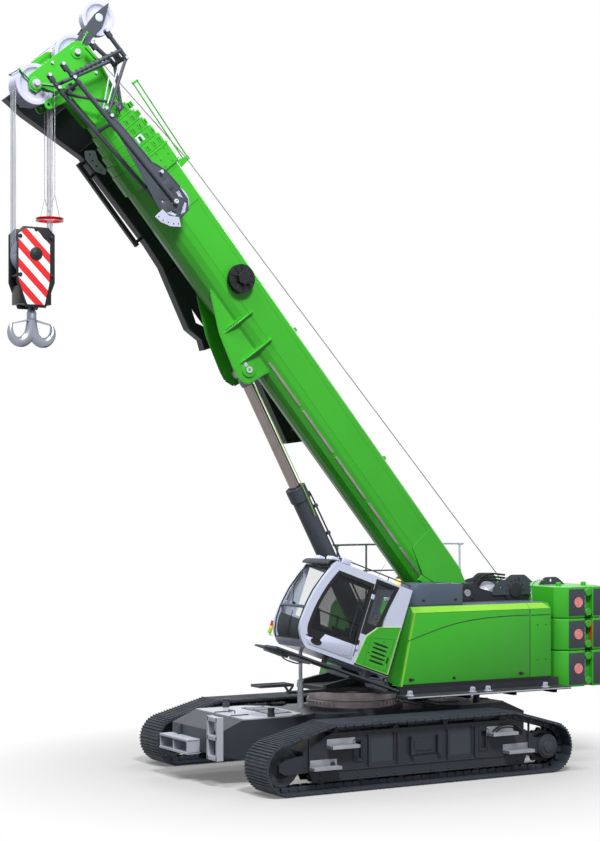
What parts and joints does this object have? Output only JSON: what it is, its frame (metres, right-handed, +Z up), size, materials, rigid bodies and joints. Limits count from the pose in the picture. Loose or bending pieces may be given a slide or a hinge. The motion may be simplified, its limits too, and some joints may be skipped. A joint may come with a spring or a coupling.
{
  "type": "crawler crane",
  "caption": "Telescopic-boom crawler crane with a tilting cab, nested box boom, luffing cylinder, stacked counterweight, hung hook block and gauge-sliding tracks.",
  "frame": {"origin": "on the slewing axis, at the level the tracks stand on", "axes": "+X forwards, +Y to the cab's side, +Z up"},
  "size_m": [12.5071, 5.2906, 14.3284],
  "materials": {
    "crane_green": "gloss paint",
    "dark_grey": "satin paint",
    "slate_grey": "satin paint",
    "pale_grey": "satin paint",
    "cab_white": "gloss paint",
    "track_steel": "worn steel",
    "bright_steel": "polished",
    "sheave_grey": "satin",
    "rope_wire": "laid wire",
    "warning_red": "gloss paint",
    "black_paint": "satin paint",
    "seat_cloth": "woven",
    "window": "clear"
  },
  "bodies": {
    "undercarriage": {"carbody": "slate_grey", "nose_blocks": "slate_grey", "nose_plates": "pale_grey", "jack_posts": "slate_grey", "front_boxes": "pale_grey", "slew_ring_lower": "bright_steel"},
    "track_unit_left": {"track_left": "track_steel", "track_frame_left": "slate_grey", "track_wheels_left": "track_steel", "track_steps_left": "bright_steel"},
    "track_unit_right": {"track_right": "track_steel", "track_frame_right": "slate_grey", "track_wheels_right": "track_steel", "track_steps_right": "bright_steel"},
    "upper": {"slew_ring_upper": "bright_steel", "platform": "dark_grey", "housing_left": "crane_green", "housing_right": "crane_green", "engine": "track_steel", "deck_box": "slate_grey", "side_walks": "dark_grey", "counterweight_low": "crane_green", "counterweight_middle": "crane_green", "counterweight_top": "crane_green", "handrail": "pale_grey", "winch_guards": "dark_grey", "boom_foot_pins": "bright_steel"},
    "winch": {"winch_drum": "rope_wire"},
    "cab": {"cab_shell": "cab_white", "cab_glass": "window", "cab_roof_gear": "pale_grey", "cab_seat": "seat_cloth", "cab_walk": "dark_grey"},
    "door": {"cab_door": "black_paint", "cab_door_glass": "window"},
    "boom": {"boom_base": "crane_green", "cable_reel": "black_paint", "jib_fork": "slate_grey", "fly_jib": "black_paint"},
    "section_1": {"boom_section_1": "crane_green"},
    "section_2": {"boom_section_2": "crane_green"},
    "section_3": {"boom_section_3": "crane_green"},
    "section_4": {"boom_section_4": "crane_green"},
    "section_5": {"boom_section_5": "crane_green", "boom_head": "crane_green"},
    "sheaves_lower": {"head_sheaves_lower": "sheave_grey"},
    "sheaves_upper": {"head_sheaves_upper": "sheave_grey"},
    "sheave_aux": {"aux_sheave": "sheave_grey"},
    "rod": {"luff_rod": "bright_steel"},
    "barrel": {"luff_barrel": "slate_grey"},
    "block": {"hoist_falls": "rope_wire", "hook_block": "black_paint", "switch_weight": "warning_red"},
    "block_sheaves": {"hook_block_sheaves": "sheave_grey"},
    "hook": {"hook": "slate_grey"}
  },
  "joints": [
    {"name": "track_left_in", "type": "slide", "parent": "undercarriage", "child": "track_unit_left", "axis": [0, -1, 0], "range_m": [0, 0.7]},
    {"name": "track_right_in", "type": "slide", "parent": "undercarriage", "child": "track_unit_right", "axis": [0, 1, 0], "range_m": [0, 0.7]},
    {"name": "slew", "type": "hinge", "parent": "undercarriage", "child": "upper", "pos_m": [0, 0, 1.38], "axis": [0, 0, 1], "continuous": true},
    {"name": "winch_spin", "type": "hinge", "parent": "upper", "child": "winch", "pos_m": [-3.55, 0, 3.2], "axis": [0, 1, 0], "continuous": true},
    {"name": "cab_level", "type": "hinge", "parent": "upper", "child": "cab", "pos_m": [0.14, 0, 1.835], "axis": [0, 1, 0], "range_deg": [0, 19.5]},
    {"name": "door_open", "type": "hinge", "parent": "cab", "child": "door", "pos_m": [0.70906, 1.55, 2.95415], "axis": [-0.3338, 0, 0.9426], "range_deg": [0, 85]},
    {"name": "luff", "type": "hinge", "parent": "upper", "child": "boom", "pos_m": [-2.35, 0, 3.39], "axis": [0, -1, 0], "range_deg": [-50, 32]},
    {"name": "extend_1", "type": "slide", "parent": "boom", "child": "section_1", "axis": [0.6414, 0, 0.7672], "range_m": [0, 8.1]},
    {"name": "extend_2", "type": "slide", "parent": "section_1", "child": "section_2", "axis": [0.6414, 0, 0.7672], "range_m": [0, 8.1]},
    {"name": "extend_3", "type": "slide", "parent": "section_2", "child": "section_3", "axis": [0.6414, 0, 0.7672], "range_m": [0, 8.1]},
    {"name": "extend_4", "type": "slide", "parent": "section_3", "child": "section_4", "axis": [0.6414, 0, 0.7672], "range_m": [0, 8.1]},
    {"name": "extend_5", "type": "slide", "parent": "section_4", "child": "section_5", "axis": [0.6414, 0, 0.7672], "range_m": [0, 8.1]},
    {"name": "head_lower_spin", "type": "hinge", "parent": "section_5", "child": "sheaves_lower", "pos_m": [6.7418, 0, 12.64234], "axis": [0, 1, 0], "continuous": true},
    {"name": "head_upper_spin", "type": "hinge", "parent": "section_5", "child": "sheaves_upper", "pos_m": [5.96696, 0, 13.2902], "axis": [0, 1, 0], "continuous": true},
    {"name": "aux_spin", "type": "hinge", "parent": "section_5", "child": "sheave_aux", "pos_m": [5.48416, 0, 14.00672], "axis": [0, 1, 0], "continuous": true},
    {"name": "rod_swing", "type": "hinge", "parent": "boom", "child": "rod", "pos_m": [2.49566, 0, 7.71991], "axis": [0, -1, 0], "range_deg": [-9.5, 6.5]},
    {"name": "barrel_stroke", "type": "slide", "parent": "rod", "child": "barrel", "axis": [-0.4712, 0, -0.882], "range_m": [-1.75, 1.2]},
    {"name": "block_hang", "type": "hinge", "parent": "section_5", "child": "block", "pos_m": [6.7418, 0, 12.64234], "axis": [0, -1, 0], "range_deg": [-33, 51]},
    {"name": "block_spin", "type": "hinge", "parent": "block", "child": "block_sheaves", "pos_m": [6.7418, 0, 9.62234], "axis": [0, 1, 0], "continuous": true},
    {"name": "hook_swivel", "type": "hinge", "parent": "block", "child": "hook", "pos_m": [6.7418, 0, 9.04234], "axis": [0, 0, 1], "continuous": true}
  ],
  "couplings": [
    {"joint": "extend_2", "follows": "extend_1", "ratio": 1},
    {"joint": "extend_3", "follows": "extend_1", "ratio": 1},
    {"joint": "extend_4", "follows": "extend_1", "ratio": 1},
    {"joint": "extend_5", "follows": "extend_1", "ratio": 1},
    {"joint": "rod_swing", "follows": "luff", "ratio": 0.18},
    {"joint": "barrel_stroke", "follows": "luff", "m_per_rad": 1.95},
    {"joint": "block_hang", "follows": "luff", "ratio": -1}
  ]
}
